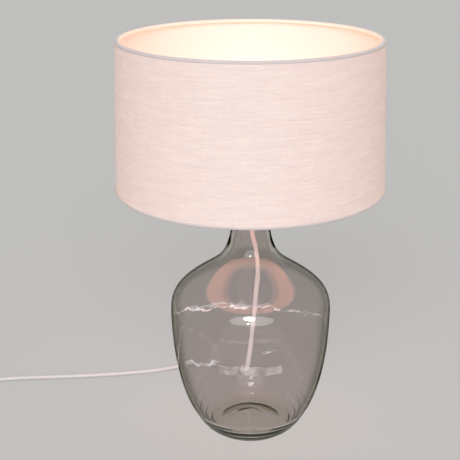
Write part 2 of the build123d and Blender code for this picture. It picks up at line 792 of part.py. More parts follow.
def switch_cores():
    """The short insulated cores between the sheath's ends and the terminals."""
    cores = []
    for side in (-1, 1):
        for row in (-1.6, 1.6):
            cores.append(Pos(side * 23.5, row, SWITCH_AXIS) * Rot(0, 90, 0) * Cylinder(CORE_R, 1.9))
    return at_switch(Compound(children=cores))


def switch_reliefs():
    """The two tapered sleeves at the switch's ends, each held by its collar."""
    sleeves = []
    for side in (-1, 1):
        sleeve = Pos(0, 0, 29.6) * Cylinder(4.9, 0.9, align=BASE)
        sleeve += Pos(0, 0, 30.4) * Cylinder(4.15, 2.9, align=BASE)
        sleeve += Pos(0, 0, 33.1) * Cone(4.9, 3.5, RELIEF_END - 33.1, align=BASE)
        sleeve -= Cylinder(CORD_BORE, 200)
        sleeves.append(Pos(0, 0, SWITCH_AXIS) * Rot(0, side * 90, 0) * sleeve)
    return at_switch(Compound(children=sleeves))


# Plug, built pointing along -Y from the middle of its body, then turned to point +X --
PLUG_AXIS = 7.0
PLUG_BACK = 17.0
PLUG_FRONT = -19.0
PIN_SPACING = 18.6
PIN_LENGTH = 19.0
SLEEVE_LENGTH = 10.0


def at_plug(shape):
    return Pos(*PLUG_PLACE, PLUG_AXIS) * Rot(0, 0, 90) * shape


def plug_body():
    """The flat moulded body of a two-pin plug."""
    front_half = 17.6
    plan = Polyline(
        (-front_half, PLUG_FRONT),
        (front_half, PLUG_FRONT),
        (front_half, PLUG_FRONT + 13),
        (7.5, PLUG_BACK),
        (-7.5, PLUG_BACK),
        (-front_half, PLUG_FRONT + 13),
        close=True,
    )
    outline = fillet(make_face(plan).vertices(), 4.0)
    body = Pos(0, 0, -6.85) * extrude(outline, 13.7)
    body = fillet(body.edges().group_by(Axis.Z)[0] + body.edges().group_by(Axis.Z)[-1], 3.0)
    body -= Pos(0, PLUG_BACK, 0) * Rot(90, 0, 0) * Cylinder(3.6, 24)
    for side in (-1, 1):
        body -= Pos(side * PIN_SPACING / 2, PLUG_FRONT, 0) * Rot(90, 0, 0) * Cylinder(1.45, 16)
    return at_plug(body)


def pin_frame(side):
    """The place of a pin, with Z along the pin from the plug's face."""
    return Pos(side * PIN_SPACING / 2, PLUG_FRONT, 0) * Rot(90, 0, 0)


def plug_pins():
    pins = []
    for side in (-1, 1):
        tip = Pos(0, 0, SLEEVE_LENGTH) * Cylinder(2.0, PIN_LENGTH - SLEEVE_LENGTH, align=BASE)
        tip = fillet(tip.edges().group_by(Axis.Z)[-1], 1.2)
        pins.append(pin_frame(side) * (tip + Pos(0, 0, -7.5) * Cylinder(1.4, 18, align=BASE)))
    return at_plug(Compound(children=pins))


def pin_sleeves():
    sleeve = Cylinder(1.7, SLEEVE_LENGTH - 0.04, align=BASE) - Cylinder(1.45, 60)
    sleeves = [pin_frame(side) * Pos(0, 0, 0.02) * sleeve for side in (-1, 1)]
    return at_plug(Compound(children=sleeves))


def plug_relief():
    """The tapered sleeve at the back of the plug."""
    sleeve = Cylinder(3.55, 10, align=BASE) + Pos(0, 0, 10.05) * Cone(5.0, 3.5, 22, align=BASE)
    sleeve += Pos(0, 0, 9.9) * Cylinder(3.55, 0.3, align=BASE)
    sleeve -= Pos(0, 0, -1) * Cylinder(CORD_BORE, 60, align=BASE)
    return at_plug(Pos(0, PLUG_BACK - 10, 0) * Rot(-90, 0, 0) * sleeve)


PIECES = {
    "glass_bottle": glass_bottle,
    "cord_grommet": cord_grommet,
    "neck_plug": neck_plug,
    "bottle_cap": bottle_cap,
    "clamp_washer": clamp_washer,
    "lock_nuts": lock_nuts,
    "threaded_nipple": threaded_nipple,
    "nipple_bush": nipple_bush,
    "holder_base": holder_base,
    "locking_screw": locking_screw,
    "holder_skirt": holder_skirt,
    "contact_core": contact_core,
    "screw_shell": screw_shell,
    "centre_contact": centre_contact,
    "side_contact": side_contact,
    "holder_terminals": holder_terminals,
    "holder_terminal_screws": holder_terminal_screws,
    "live_core": lambda: holder_core(1),
    "neutral_core": lambda: holder_core(-1),
    "shade_fabric": lambda: shade_sheet(FABRIC_INSET, 0.6),
    "shade_liner": lambda: shade_sheet(LINER_INSET, 0.4),
    "top_wire_ring": lambda: wire_ring(LAMP_HEIGHT - 2.4),
    "bottom_wire_ring": lambda: wire_ring(SHADE_BOTTOM + 2.4),
    "top_trim": lambda: shade_trim(LAMP_HEIGHT, -1),
    "bottom_trim": bottom_trim,
    "spider_hub": spider_hub,
    "spider_arms": spider_arms,
    "shade_clamp_ring": clamp_ring,
    "bulb_envelope": bulb_envelope,
    "bulb_cap": bulb_cap,
    "bulb_insulator": bulb_insulator,
    "bulb_contact": bulb_contact,
    "bulb_stem": bulb_stem,
    "bulb_filaments": filaments,
    "filament_wires": filament_wires,
    "cord_inside": cord_inside,
    "cord_to_switch": cord_to_switch,
    "cord_to_coil": cord_to_coil,
    "cord_to_plug": cord_to_plug,
    "cord_coil": cord_coil,
    "cord_tie": cord_tie,
    "switch_base": switch_base,
    "switch_cover": switch_cover,
    "switch_rocker": switch_rocker,
    "rocker_plunger": rocker_plunger,
    "plunger_spring": plunger_spring,
    "contact_lever": contact_lever,
    "lever_bracket": lever_bracket,
    "fixed_contact": fixed_contact,
    "neutral_bar": neutral_bar,
    "terminal_screws": lambda: screws_at(TERMINAL_SPOTS, 10.55, 2.0, 1.25, 6),
    "clamp_screws": lambda: screws_at(CLAMP_SPOTS, 13.1, 1.9, 1.0, 8),
    "cover_screws": cover_screws,
    "cord_clamps": cord_clamps,
    "switch_cores": switch_cores,
    "switch_reliefs": switch_reliefs,
    "plug_body": plug_body,
    "plug_pins": plug_pins,
    "pin_sleeves": pin_sleeves,
    "plug_relief": plug_relief,
}

for name, make in PIECES.items():
    save(name, make())
print("cord hole on the outer wall:", [round(v, 2) for v in hole_point(0)])
print("cord nose tip:", [round(v, 2) for v in hole_point(22)])
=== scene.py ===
import math

import bmesh
import bpy
import numpy as np
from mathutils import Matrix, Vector


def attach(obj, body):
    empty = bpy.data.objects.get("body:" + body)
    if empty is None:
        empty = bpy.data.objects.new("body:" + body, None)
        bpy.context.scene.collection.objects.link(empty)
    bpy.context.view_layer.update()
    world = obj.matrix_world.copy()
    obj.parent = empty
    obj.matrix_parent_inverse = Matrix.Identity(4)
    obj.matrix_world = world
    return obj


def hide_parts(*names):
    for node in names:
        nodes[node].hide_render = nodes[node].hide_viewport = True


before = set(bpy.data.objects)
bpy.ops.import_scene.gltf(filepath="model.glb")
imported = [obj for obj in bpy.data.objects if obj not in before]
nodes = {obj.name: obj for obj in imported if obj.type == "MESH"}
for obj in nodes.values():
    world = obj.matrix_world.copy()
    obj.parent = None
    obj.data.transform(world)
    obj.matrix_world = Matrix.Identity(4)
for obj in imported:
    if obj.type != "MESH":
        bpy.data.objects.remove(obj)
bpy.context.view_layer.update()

MM = 0.001

# Camera, fitted to the outlines in the photograph ---------------------------------------
FRAME_PIXELS = 460
AXIS_FROM_MIDDLE = 20.5  # pixels
LOOKING_DOWN = 19.526  # degrees

camera_data = bpy.data.cameras.new("camera")
camera_data.sensor_width = 36.0
camera_data.lens = 79.85
camera_data.shift_x = -AXIS_FROM_MIDDLE / FRAME_PIXELS
camera_data.clip_start = 0.02
camera_data.clip_end = 100.0
camera = bpy.data.objects.new("camera", camera_data)
camera.location = (0.0, -1.0937, 0.6359)
camera.rotation_euler = (math.radians(90 - LOOKING_DOWN), 0, 0)
bpy.context.scene.collection.objects.link(camera)
bpy.context.scene.camera = camera
bpy.context.scene.view_settings.view_transform = "Standard"

# Sizes that the visible pieces share with the CAD model, in millimetres -------------------
LAMP_HEIGHT = 466.0
SHADE_BOTTOM = 300.5
SHADE_RADIUS = 150.0
SHADE_TOP_RADIUS = 144.0
SHADE_SLOPE = (SHADE_RADIUS - SHADE_TOP_RADIUS) / (LAMP_HEIGHT - SHADE_BOTTOM)
FOOT_RADIUS = 44.5
BELLY_RADIUS = 92.4
BELLY_HEIGHT = 145.0
NECK_RADIUS = 22.0
MOUTH_HEIGHT = 287.0
GLASS_WALL = 3.0
CORD = 5.4
HOLE = Vector((-7.05, 71.87, 34.82))
HOLE_OUT = Vector((-0.0895, 0.9136, -0.3959)).normalized()
HOLE_RADIUS = 5.1
SWITCH = (-393.0, -40.0)
COIL = (-355.4, -179.0)
PLUG = (-229.4, -216.6)
COIL_OUTER_TURN = 37.6


# Node helpers -----------------------------------------------------------------------------
def set_inputs(node, values):
    """Link or fill a node's inputs; a colour of three numbers gets an alpha of 1."""
    for key, value in values.items():
        socket = node.inputs[key]
        if isinstance(value, bpy.types.NodeSocket):
            node.id_data.links.new(value, socket)
        elif isinstance(value, tuple) and len(socket.default_value) > len(value):
            socket.default_value = (*value, 1.0)
        else:
            socket.default_value = value


class Look:
    """A material with one Principled shader, and short names for the nodes it is made from."""

    def __init__(self, name, **values):
        self.material = bpy.data.materials.new(name)
        self.material.use_nodes = True
        self.tree = self.material.node_tree
        self.shader = self.tree.nodes["Principled BSDF"]
        self.set(**values)

    def set(self, **values):
        set_inputs(self.shader, {key.replace("_", " "): value for key, value in values.items()})
        return self

    def add(self, kind, values=None, **props):
        node = self.tree.nodes.new(kind)
        for key, value in props.items():
            setattr(node, key, value)
        set_inputs(node, values or {})
        return node

    def place(self, kind="Object"):
        return self.add("ShaderNodeTexCoord").outputs[kind]

    def split(self, vector):
        return self.add("ShaderNodeSeparateXYZ", {0: vector}).outputs

    def scaled(self, vector, scale):
        return self.add("ShaderNodeMapping", {"Vector": vector, "Scale": scale}).outputs[0]

    def noise(self, vector, scale, detail=3.0, roughness=0.5, distortion=0.0):
        values = {
            "Vector": vector, "Scale": scale, "Detail": detail, "Roughness": roughness,
            "Distortion": distortion,
        }
        return self.add("ShaderNodeTexNoise", values).outputs[0]

    def wave(self, vector, scale, axis="X", distortion=0.0, detail=0.0, detail_scale=1.0):
        values = {
            "Vector": vector, "Scale": scale, "Distortion": distortion, "Detail": detail,
            "Detail Scale": detail_scale,
        }
        return self.add("ShaderNodeTexWave", values, bands_direction=axis).outputs[1]

    def math(self, operation, a, b=0.0, clamp=False):
        values = {0: a, 1: b}
        return self.add("ShaderNodeMath", values, operation=operation, use_clamp=clamp).outputs[0]

    def sum(self, a, b):
        return self.math("ADD", a, b)

    def product(self, a, *others):
        for other in others:
            a = self.math("MULTIPLY", a, other)
        return a

    def distance(self, value, centre):
        return self.math("ABSOLUTE", self.math("SUBTRACT", value, centre))

    def azimuth(self, split):
        """The angle round the lamp's axis, 0 at its front."""
        return self.math("ARCTAN2", split[0], self.product(split[1], -1.0))

    def range(self, value, low, high, to_low=0.0, to_high=1.0):
        values = {
            "Value": value, "From Min": low, "From Max": high, "To Min": to_low, "To Max": to_high,
        }
        return self.add("ShaderNodeMapRange", values).outputs[0]

    def blend(self, factor, a, b):
        """Colour a where factor is 0, colour b where it is 1."""
        first, second, result = 6, 7, 2  # the colour sockets of a Mix node
        values = {0: factor, first: a, second: b}
        return self.add("ShaderNodeMix", values, data_type="RGBA").outputs[result]

    def bump(self, height, distance, strength=1.0, normal=None):
        values = {"Height": height, "Distance": distance, "Strength": strength}
        if normal is not None:
            values["Normal"] = normal
        return self.add("ShaderNodeBump", values).outputs[0]


def paint(look, *names):
    """Give CAD nodes a material."""
    for name in names:
        mesh = nodes[name].data
        mesh.materials.clear()
        mesh.materials.append(look.material)


# Mesh helpers -----------------------------------------------------------------------------
def smooth_noise(shape, cells, seed):
    """Smooth random values, about -1 to 1, on a grid, periodic along its second axis."""
    rng = np.random.default_rng(seed)
    rows, columns = cells
    grid = rng.uniform(-1, 1, (rows + 3, columns))
    v = np.linspace(0, rows, shape[0], endpoint=False)
    u = np.linspace(0, columns, shape[1], endpoint=False)

    def weights(x):
        whole = np.floor(x).astype(int)
        t = x - whole
        w = [
            (1 - t) ** 3 / 6, (3 * t**3 - 6 * t**2 + 4) / 6,
            (-3 * t**3 + 3 * t**2 + 3 * t + 1) / 6, t**3 / 6,
        ]
        return whole, w

    iv, wv = weights(v)
    iu, wu = weights(u)
    out = np.zeros(shape)
    for a in range(4):
        row = grid[np.minimum(iv + a, rows + 2)]
        line = sum(row[:, (iu + b) % columns] * wu[b][None, :] for b in range(4))
        out += wv[a][:, None] * line
    return out * 1.6  # a B-spline flattens its control values by about this much


def noise_round(segments, cells, seed):
    """Smooth random values round a circle."""
    return smooth_noise((4, segments), (1, cells), seed)[1][None, :]


def step(x, low, high):
    """0 below low, 1 above high, smooth between them."""
    t = np.clip((x - low) / (high - low), 0, 1)
    return t * t * (3 - 2 * t)


def hump(x, centre, width):
    return np.exp(-(((x - centre) / width) ** 2))


def spline(points, count):
    """Points along a smooth curve through the given ones, evenly spaced in its parameter."""
    p = np.array(points, float)
    t = np.concatenate([[0], np.cumsum(np.sqrt(np.hypot(*np.diff(p, axis=0).T)))])
    n = len(p)
    h = np.diff(t)
    matrix = np.zeros((n, n))
    right = np.zeros((n, 2))
    matrix[0, 0] = matrix[-1, -1] = 1
    for i in range(1, n - 1):
        matrix[i, i - 1:i + 2] = h[i - 1], 2 * (h[i - 1] + h[i]), h[i]
        right[i] = 6 * ((p[i + 1] - p[i]) / h[i] - (p[i] - p[i - 1]) / h[i - 1])
    m = np.linalg.solve(matrix, right)
    out = []
    for s in np.linspace(0, t[-1], count):
        i = min(np.searchsorted(t, s, side="right") - 1, n - 2)
        a, b = t[i + 1] - s, s - t[i]
        out.append(
            (m[i] * a**3 + m[i + 1] * b**3) / (6 * h[i])
            + (p[i] / h[i] - m[i] * h[i] / 6) * a
            + (p[i + 1] / h[i] - m[i + 1] * h[i] / 6) * b
        )
    return np.array(out)


def new_object(name, mesh, body):
    piece = bpy.data.objects.new(name, mesh)
    bpy.context.scene.collection.objects.link(piece)
    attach(piece, body)
    return piece


def revolved(name, radii, heights, body, look, closed=True):
    """A piece from grids of radii and heights, rows x segments, in millimetres.

    If closed, its last row is joined to its first.
    """
    rows, segments = radii.shape
    angles = np.linspace(0, 2 * math.pi, segments, endpoint=False)
    points = np.stack([radii * np.cos(angles), radii * np.sin(angles), heights], -1)
    steps = np.hypot(np.diff(radii[:, 0]), np.diff(heights[:, 0]))
    lengths = np.concatenate([[0], np.cumsum(steps)])
    around = 2 * math.pi * radii.max()
    faces = []
    uvs = []
    for row in range(rows if closed else rows - 1):
        this, after = row * segments, (row + 1) % rows * segments
        v0 = lengths[row]
        v1 = lengths[row + 1] if row + 1 < rows else v0 + 1
        for k in range(segments):
            n = (k + 1) % segments
            faces.append((this + k, this + n, after + n, after + k))
            u0 = around * k / segments
            u1 = around * (k + 1) / segments
            uvs += [u0, v0, u1, v0, u1, v1, u0, v1]
    mesh = bpy.data.meshes.new(name)
    mesh.from_pydata((points.reshape(-1, 3) * MM).tolist(), [], faces)
    layer = mesh.uv_layers.new(name="UVMap")
    layer.data.foreach_set("uv", np.array(uvs) * MM)
    mesh.polygons.foreach_set("use_smooth", [True] * len(mesh.polygons))
    mesh.materials.append(look.material)
    mesh.update()
    return new_object(name, mesh, body)


def merge_poles(piece):
    """Join the vertices that meet on the axis."""
    bm = bmesh.new()
    bm.from_mesh(piece.data)
    bmesh.ops.remove_doubles(bm, verts=bm.verts, dist=1e-6)
    bm.to_mesh(piece.data)
    bm.free()


def cut(piece, cutter):
    """Subtract one closed mesh from another and delete the cutter."""
    modifier = piece.modifiers.new("cut", "BOOLEAN")
    modifier.operation = "DIFFERENCE"
    modifier.solver = "EXACT"
    modifier.object = cutter
    graph = bpy.context.evaluated_depsgraph_get()
    mesh = bpy.data.meshes.new_from_object(piece.evaluated_get(graph))
    piece.modifiers.clear()
    piece.data = mesh
    bpy.data.objects.remove(cutter)


# Glass ------------------------------------------------------------------------------------
GLASS_TINT = (0.797, 0.749, 0.776)
GLASS_EDGE_SHADE = (0.13, 0.135, 0.105)
EDGE_SHADE_FACING = (0.56, 0.88)  # where the painted edge shade starts, and where it is full
GLINT_LINE_TINT = (0.93, 0.93, 0.95)
GLINT_LINE_CLEARNESS = 0.15
GLINT_LINE_DROOP = 0.020  # metres per square radian, downwards from the front
GLINT_LINE_WANDER = 0.0065  # metres
# Ragged lines in the blown wall, paler and less clear: painted highlights for the streaks of light
# that the wavy glass reflects. Height at the front in metres, azimuths of the ends in radians from the
# front, half thickness in metres, and strength.
GLINT_LINES = [
    (0.1860, -1.25, 0.05, 0.0026, 0.9),
    (0.1850, 0.0, 1.2, 0.0014, 0.75),
    (0.1245, -1.0, -0.36, 0.0032, 1.0),
    (0.1370, 0.08, 0.40, 0.0012, 0.8),
]
GLINT_LINE_FADE = 0.15  # radians at each end


def glass_look():
    look = Look("smoky_glass", Roughness=0.0, IOR=1.5)
    # Painted shade: the glass's colour darkens where it is seen at a grazing angle, for its dark
    # edges.
    grazing = look.add("ShaderNodeLayerWeight", {"Blend": 0.5}).outputs["Facing"]
    tint_with_edge_shade = look.blend(look.range(grazing, *EDGE_SHADE_FACING), GLASS_TINT, GLASS_EDGE_SHADE)
    values = {"Color": (0.78, 0.80, 0.64), "Density": 60.0}
    absorb = look.add("ShaderNodeVolumeAbsorption", values)
    set_inputs(look.tree.nodes["Material Output"], {"Volume": absorb.outputs[0]})
    where = look.place()
    split = look.split(where)
    ahead = look.azimuth(split)
    droop = look.product(look.product(ahead, ahead), GLINT_LINE_DROOP)
    rough = look.noise(where, 26.0, detail=6, roughness=0.62)
    wander = look.range(rough, 0.3, 0.7, -GLINT_LINE_WANDER, GLINT_LINE_WANDER)
    level = look.sum(look.sum(split[2], droop), wander)
    torn = look.range(look.noise(where, 60.0, detail=4), 0.40, 0.60, 0.15, 1.0)
    # Painted highlights: along these lines the glass is paler and less clear.
    glint_lines = 0.0
    for height, start, end, thick, strength in GLINT_LINES:
        line = look.range(look.distance(level, height), look.product(torn, thick), 0.0, 0.0, strength)
        line = look.product(
            line, look.range(ahead, start, start + GLINT_LINE_FADE), look.range(ahead, end, end - GLINT_LINE_FADE)
        )
        glint_lines = look.math("ADD", line, glint_lines, clamp=True)
    look.set(Base_Color=look.blend(glint_lines, tint_with_edge_shade, GLINT_LINE_TINT))
    return look.set(Transmission_Weight=look.range(glint_lines, 0.0, 1.0, 1.0, GLINT_LINE_CLEARNESS))


# The outside of the wall, as shares of the belly's radius and height
WALL_SHARES = [
    (0.618, 0.069), (0.778, 0.235), (0.894, 0.448), (0.974, 0.738), (1.0, 1.0),
    (0.974, 1.165), (0.803, 1.297), (0.469, 1.448), (0.3225, 1.552),
]
WALL_TOP = MOUTH_HEIGHT - 24
WALL_BANDS = [(0, 35, 44), (35, 156, 44), (156, 194, 64)]  # from, to, rows; then 30 up to the top
THICKENING = 1.6  # how much thicker than the CAD the wall is drawn, inwards
FOOT_THICKENING = (2.4, 0, 16)  # amount, height, width
NECK_THICKENING = (1.6, 226, 13)
# Grooves turned into the foot: height, depth
FOOT_GROOVES = [(31.0, 0.35), (22.0, 0.6), (12.5, 0.8), (4.5, 0.7)]
GROOVE_WIDTH = 1.3
RIDGE_WIDTH = 1.8


def glass_outline():
    """The bottle's outline in five runs: underside and foot, wall, lip, inside, floor."""
    wall_points = [(FOOT_RADIUS, 0.0)]
    wall_points += [(a * BELLY_RADIUS, b * BELLY_HEIGHT) for a, b in WALL_SHARES]
    wall_points += [(NECK_RADIUS + 0.9, MOUTH_HEIGHT - 40), (NECK_RADIUS, WALL_TOP)]
    wall = spline(wall_points, 420)
    bands = [np.linspace(low, high, rows, endpoint=False) for low, high, rows in WALL_BANDS]
    heights = np.concatenate([*bands, np.linspace(WALL_BANDS[-1][1], WALL_TOP, 30)])
    wall = np.stack([np.interp(heights, wall[:, 1], wall[:, 0]), heights], -1)
    normal = np.gradient(wall, axis=0)
    normal /= np.hypot(*normal.T)[:, None]
    level = wall[:, 1]
    depth = GLASS_WALL + THICKENING * (1 - step(level, 250, 261))
    for amount, height, width in (FOOT_THICKENING, NECK_THICKENING):
        depth += amount * hump(level, height, width)
    inside = wall - np.stack([normal[:, 1], -normal[:, 0]], -1) * depth[:, None]
    inside = inside[inside[:, 1] > 16][::-2]
    corner = inside[-1]
    floor = spline([corner, (corner[0] - 5.5, 12.6), (41, 10.6), (30, 10.2), (12, 12.4), (0, 13)], 30)
    punt = spline([(0, 6), (20, 4.4), (33, 1.2), (37, 0.15)], 14)
    foot = [(38.5, 0.0), (43.5, 0.0)]
    lip = [
        (NECK_RADIUS + 3 * math.sin(a), MOUTH_HEIGHT - 5 - 5 * math.cos(a))
        for a in np.linspace(0, math.pi, 12)
    ]
    bore = NECK_RADIUS - GLASS_WALL
    lip += [(bore, MOUTH_HEIGHT), (bore, MOUTH_HEIGHT - 12)]
    return [*punt, *foot], wall[2:], lip, inside, floor[1:]


def glass_bottle():
    segments = 288
    runs = glass_outline()
    outline = np.concatenate(runs)
    ends = np.cumsum([len(run) for run in runs])
    outer_rows, inner_rows, floor_rows = (slice(ends[i], ends[i + 1]) for i in (0, 2, 3))
    radii = np.repeat(outline[:, :1], segments, 1)
    heights = np.repeat(outline[:, 1:], segments, 1)

    def waves(rows, amount, cells, seed):
        z = heights[rows]
        body = step(z, 14, 40) * (1 - step(z, 215, 240))
        radii[rows] += amount * body * smooth_noise(z.shape, cells, seed)

    waves(inner_rows, 0.12, (11, 10), 3)
    waves(inner_rows, 0.035, (26, 30), 4)
    waves(outer_rows, 0.10, (7, 8), 5)
    waves(outer_rows, 0.085, (34, 52), 17)
    z = heights[outer_rows]
    neck = step(z, 205, 225) * (1 - step(z, 252, 262))
    radii[outer_rows] += 0.16 * neck * smooth_noise(z.shape, (2, 34), 18)
    for height, deep in FOOT_GROOVES:
        radii[outer_rows] -= deep * hump(z, height, GROOVE_WIDTH)
    r = radii[floor_rows]
    middle = 16 + 3 * smooth_noise(r.shape, (2, 9), 10)
    relief = 0.3 * smooth_noise(r.shape, (12, 14), 6)
    relief += 0.7 * hump(r, 37, RIDGE_WIDTH) + 0.6 * hump(r, middle, RIDGE_WIDTH)
    heights[floor_rows] += step(r, 3, 12) * (1 - step(r, 46, 52)) * relief
    bottle = revolved(
        "glass_bottle_blown", radii, heights, "root", glass_look(), closed=False
    )
    merge_poles(bottle)
    bpy.ops.mesh.primitive_cylinder_add(
        vertices=48, radius=HOLE_RADIUS * MM, depth=30 * MM, location=HOLE * MM
    )
    cutter = bpy.context.object
    cutter.rotation_mode = "QUATERNION"
    cutter.rotation_quaternion = HOLE_OUT.to_track_quat("Z", "Y")
    cut(bottle, cutter)
    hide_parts("glass_bottle")
    bottle.visible_shadow = False
    bottle.visible_diffuse = False


glass_bottle()


# Shade ------------------------------------------------------------------------------------
def shade_radius(height):
    up = (height - SHADE_BOTTOM) / (LAMP_HEIGHT - SHADE_BOTTOM)
    return SHADE_RADIUS + (SHADE_TOP_RADIUS - SHADE_RADIUS) * up


def gauze_look():
    """Crinkled cotton gauze: threads, and thick and thin places, with a painted warm glow for the
    bulb's light through it.
    """
    threads = 420.0
    look = Look(
        "gauze_fabric", Base_Color=(0.70, 0.72, 0.73), Roughness=0.9, Specular_IOR_Level=0.25,
        Sheen_Weight=0.15,
    )
    uv = look.place("UV")
    weave = look.sum(*(
        look.wave(uv, threads, axis=axis, distortion=1.6, detail=2, detail_scale=0.4) for axis in "XY"
    ))
    wrinkle = look.noise(look.scaled(uv, (38, 300, 1)), 1.0, roughness=0.55, distortion=0.9)
    crinkle = look.noise(look.scaled(uv, (420, 50, 1)), 1.0, roughness=0.55, distortion=0.5)
    relief = look.sum(look.product(wrinkle, 1.7), look.product(crinkle, 0.6))
    folds = look.bump(relief, 0.0006, strength=0.7)
    look.set(Normal=look.bump(weave, 0.00005, strength=0.35, normal=folds))
    thick = look.range(relief, 0.75, 1.55)
    look.set(Base_Color=look.blend(thick, (0.74, 0.735, 0.735), (0.66, 0.67, 0.685)))
    # Painted light: the gauze glows warm for the bulb behind it, a deeper orange where it is thick.
    painted_glow = look.blend(thick, (1.0, 0.34, 0.09), (1.0, 0.27, 0.05))
    return look.set(Emission_Color=painted_glow, Emission_Strength=0.25)


def shade_gauze():
    rows, segments = 118, 720
    inside_every = 8  # rows
    low, high = SHADE_BOTTOM + 0.6, LAMP_HEIGHT - 0.6
    z = np.repeat(np.linspace(low, high, rows)[:, None], segments, 1)
    ease = step(z, low + 1, low + 9) * (1 - step(z, high - 9, high - 1))
    wrinkles = 0.18 * smooth_noise(z.shape, (36, 36), 11) + 0.07 * smooth_noise(z.shape, (54, 70), 12)
    crinkles = 0.10 * smooth_noise(z.shape, (12, 240), 13) + 0.07 * smooth_noise(z.shape, (9, 180), 14)
    broad = 0.22 * smooth_noise(z.shape, (5, 26), 15)
    outer = shade_radius(z) - 0.35 + ease * (wrinkles + crinkles + broad)
    inside = z[::-1][::inside_every]
    radii = np.concatenate([outer, shade_radius(inside) - 1.2])
    heights = np.concatenate([z, inside])
    piece = revolved("shade_gauze", radii, heights, "shade", gauze_look())
    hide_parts("shade_fabric")
    return piece


def trim_look():
    """Folded tape; its inside, deeper than the skin of the shade, has a painted glow for the bulb's
    light.
    """
    threads = 500.0
    inside_depth = (0.0028, 0.0040)
    look = Look(
        "trim_fabric", Base_Color=(0.70, 0.67, 0.665), Roughness=0.85, Specular_IOR_Level=0.3,
        Sheen_Weight=0.2,
    )
    uv = look.place("UV")
    rib = look.sum(*(look.wave(uv, threads, axis=axis, distortion=0.6) for axis in "XY"))
    look.set(Normal=look.bump(rib, 0.00012, strength=0.6))
    mottle = look.noise(look.scaled(uv, (90, 300, 1)), 1.0)
    look.set(Base_Color=look.blend(mottle, (0.79, 0.70, 0.675), (0.73, 0.64, 0.625)))
    x, y, z = look.split(look.place())
    away = look.math("SQRT", look.sum(look.math("POWER", x, 2.0), look.math("POWER", y, 2.0)))
    skin_at_floor = (SHADE_RADIUS + SHADE_BOTTOM * SHADE_SLOPE) * MM
    skin = look.math("SUBTRACT", skin_at_floor, look.product(z, SHADE_SLOPE))
    # Painted light: the inside of the tape glows.
    inside = look.range(look.math("SUBTRACT", skin, away), *inside_depth, 0.0, 0.35)
    return look.set(Emission_Color=(1.0, 0.62, 0.36), Emission_Strength=inside)


trim = trim_look()


def rolled_edge(name, edge, up, replaced):
    """The tape round one edge of the shade; up is 1 where it stands up from the edge, else -1."""
    segments = 480
    r = shade_radius(edge)
    tall = 3.1
    outline = [
        (r - 0.25, tall), (r - 0.02, tall - 0.25), (r + 0.12, tall - 0.9), (r + 0.12, 1.6),
        (r - 0.1, 0.75), (r - 0.75, 0.15), (r - 1.8, -0.05), (r - 3.4, -0.02), (r - 4.8, 0.2),
        (r - 5.5, 0.9), (r - 5.65, 1.8), (r - 5.6, tall + 0.3), (r - 5.3, tall + 0.5),
        (r - 5.1, tall + 0.2), (r - 5.08, 2.4), (r - 4.6, 0.95), (r - 3.6, 0.62), (r - 1.9, 0.6),
        (r - 0.8, 0.95), (r - 0.42, 1.9), (r - 0.40, tall - 0.1),
    ]
    outline = np.array(outline[::up])
    radii = outline[:, :1] + 0.10 * noise_round(segments, 60, 21)
    heights = edge + up * outline[:, 1:] + 0.08 * noise_round(segments, 48, 22)
    piece = revolved(name, radii, heights, "shade", trim)
    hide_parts(replaced)
    return piece


gauze_piece = shade_gauze()
top_edge = rolled_edge("top_rolled_edge", LAMP_HEIGHT, -1, "top_trim")
bottom_edge = rolled_edge("bottom_rolled_edge", SHADE_BOTTOM, 1, "bottom_trim")

# The liner has a painted glow for the bulb's light, orange low down and fainter above these heights in
# metres
LINER_GLOW_FADE = (0.402, 0.422)
liner = Look("shade_liner", Base_Color=(0.80, 0.72, 0.71), Roughness=0.55)
where = liner.place()
glow_fade = liner.range(liner.split(where)[2], *LINER_GLOW_FADE)
# Painted glow: orange low in the liner, dim above.
liner.set(
    Normal=liner.bump(liner.noise(where, 900.0, detail=2), 0.0001, strength=0.3),
    Emission_Color=liner.blend(glow_fade, (1.0, 0.38, 0.24), (0.20, 0.05, 0.02)), Emission_Strength=1.6,
)
paint(liner, "shade_liner")


# Cords ------------------------------------------------------------------------------------
def sheath(name, pale, dark):
    look = Look(name, Roughness=0.42, Specular_IOR_Level=0.45)
    where = look.place()
    look.set(Normal=look.bump(look.noise(where, 700.0), 0.0002, strength=0.35))
    return look.set(Base_Color=look.blend(look.noise(where, 24.0, detail=4), pale, dark))


outer_sheath = sheath("white_cord", (0.72, 0.675, 0.68), (0.64, 0.60, 0.61))
# A paler copy of the cord's sheath with a painted warm glow, for the lead inside the bottle: painted
# light from the bulb above.
glowing_sheath = sheath("white_cord_painted_glow", (0.90, 0.86, 0.85), (0.84, 0.79, 0.79))
glowing_sheath.set(Emission_Color=(1.0, 0.72, 0.62), Emission_Strength=0.16)


def cord_curve(name, points, replaced, look=outer_sheath):
    """A cord along points in millimetres, as a curve of one open spline."""
    curve = bpy.data.curves.new(name, "CURVE")
    curve.dimensions = "3D"
    line = curve.splines.new("NURBS")
    line.points.add(len(points) - 1)
    for point, place in zip(line.points, points):
        point.co = (*(c * MM for c in place), 1)
    line.order_u = 3
    line.use_endpoint_u = True
    line.resolution_u = 8
    curve.bevel_depth = CORD / 2 * MM
    curve.bevel_resolution = 5
    curve.use_fill_caps = True
    curve.materials.append(look.material)
    piece = new_object(name, curve, "root")
    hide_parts(*replaced)
    return piece


def hole_point(distance):
    """A point on the axis of the hole in the glass, outwards from the middle of the wall."""
    return tuple(HOLE + HOLE_OUT * distance)


SHEATH_END = 300.0  # at the lampholder's terminals
inside = cord_curve(
    "lead_in_bottle",
    [
        (0, 0, SHEATH_END), (0, 0, 247.9), (7.6, 3, 222), (9.2, 7, 193), (6.6, 12, 167),
        (5.4, 19, 141), (2.4, 26, 115), (0.8, 33, 93), (-1.6, 38.6, 72), (-4.0, 45.5, 52.5),
        hole_point(-13), hole_point(12),
    ],
    ["cord_inside"], glowing_sheath,
)

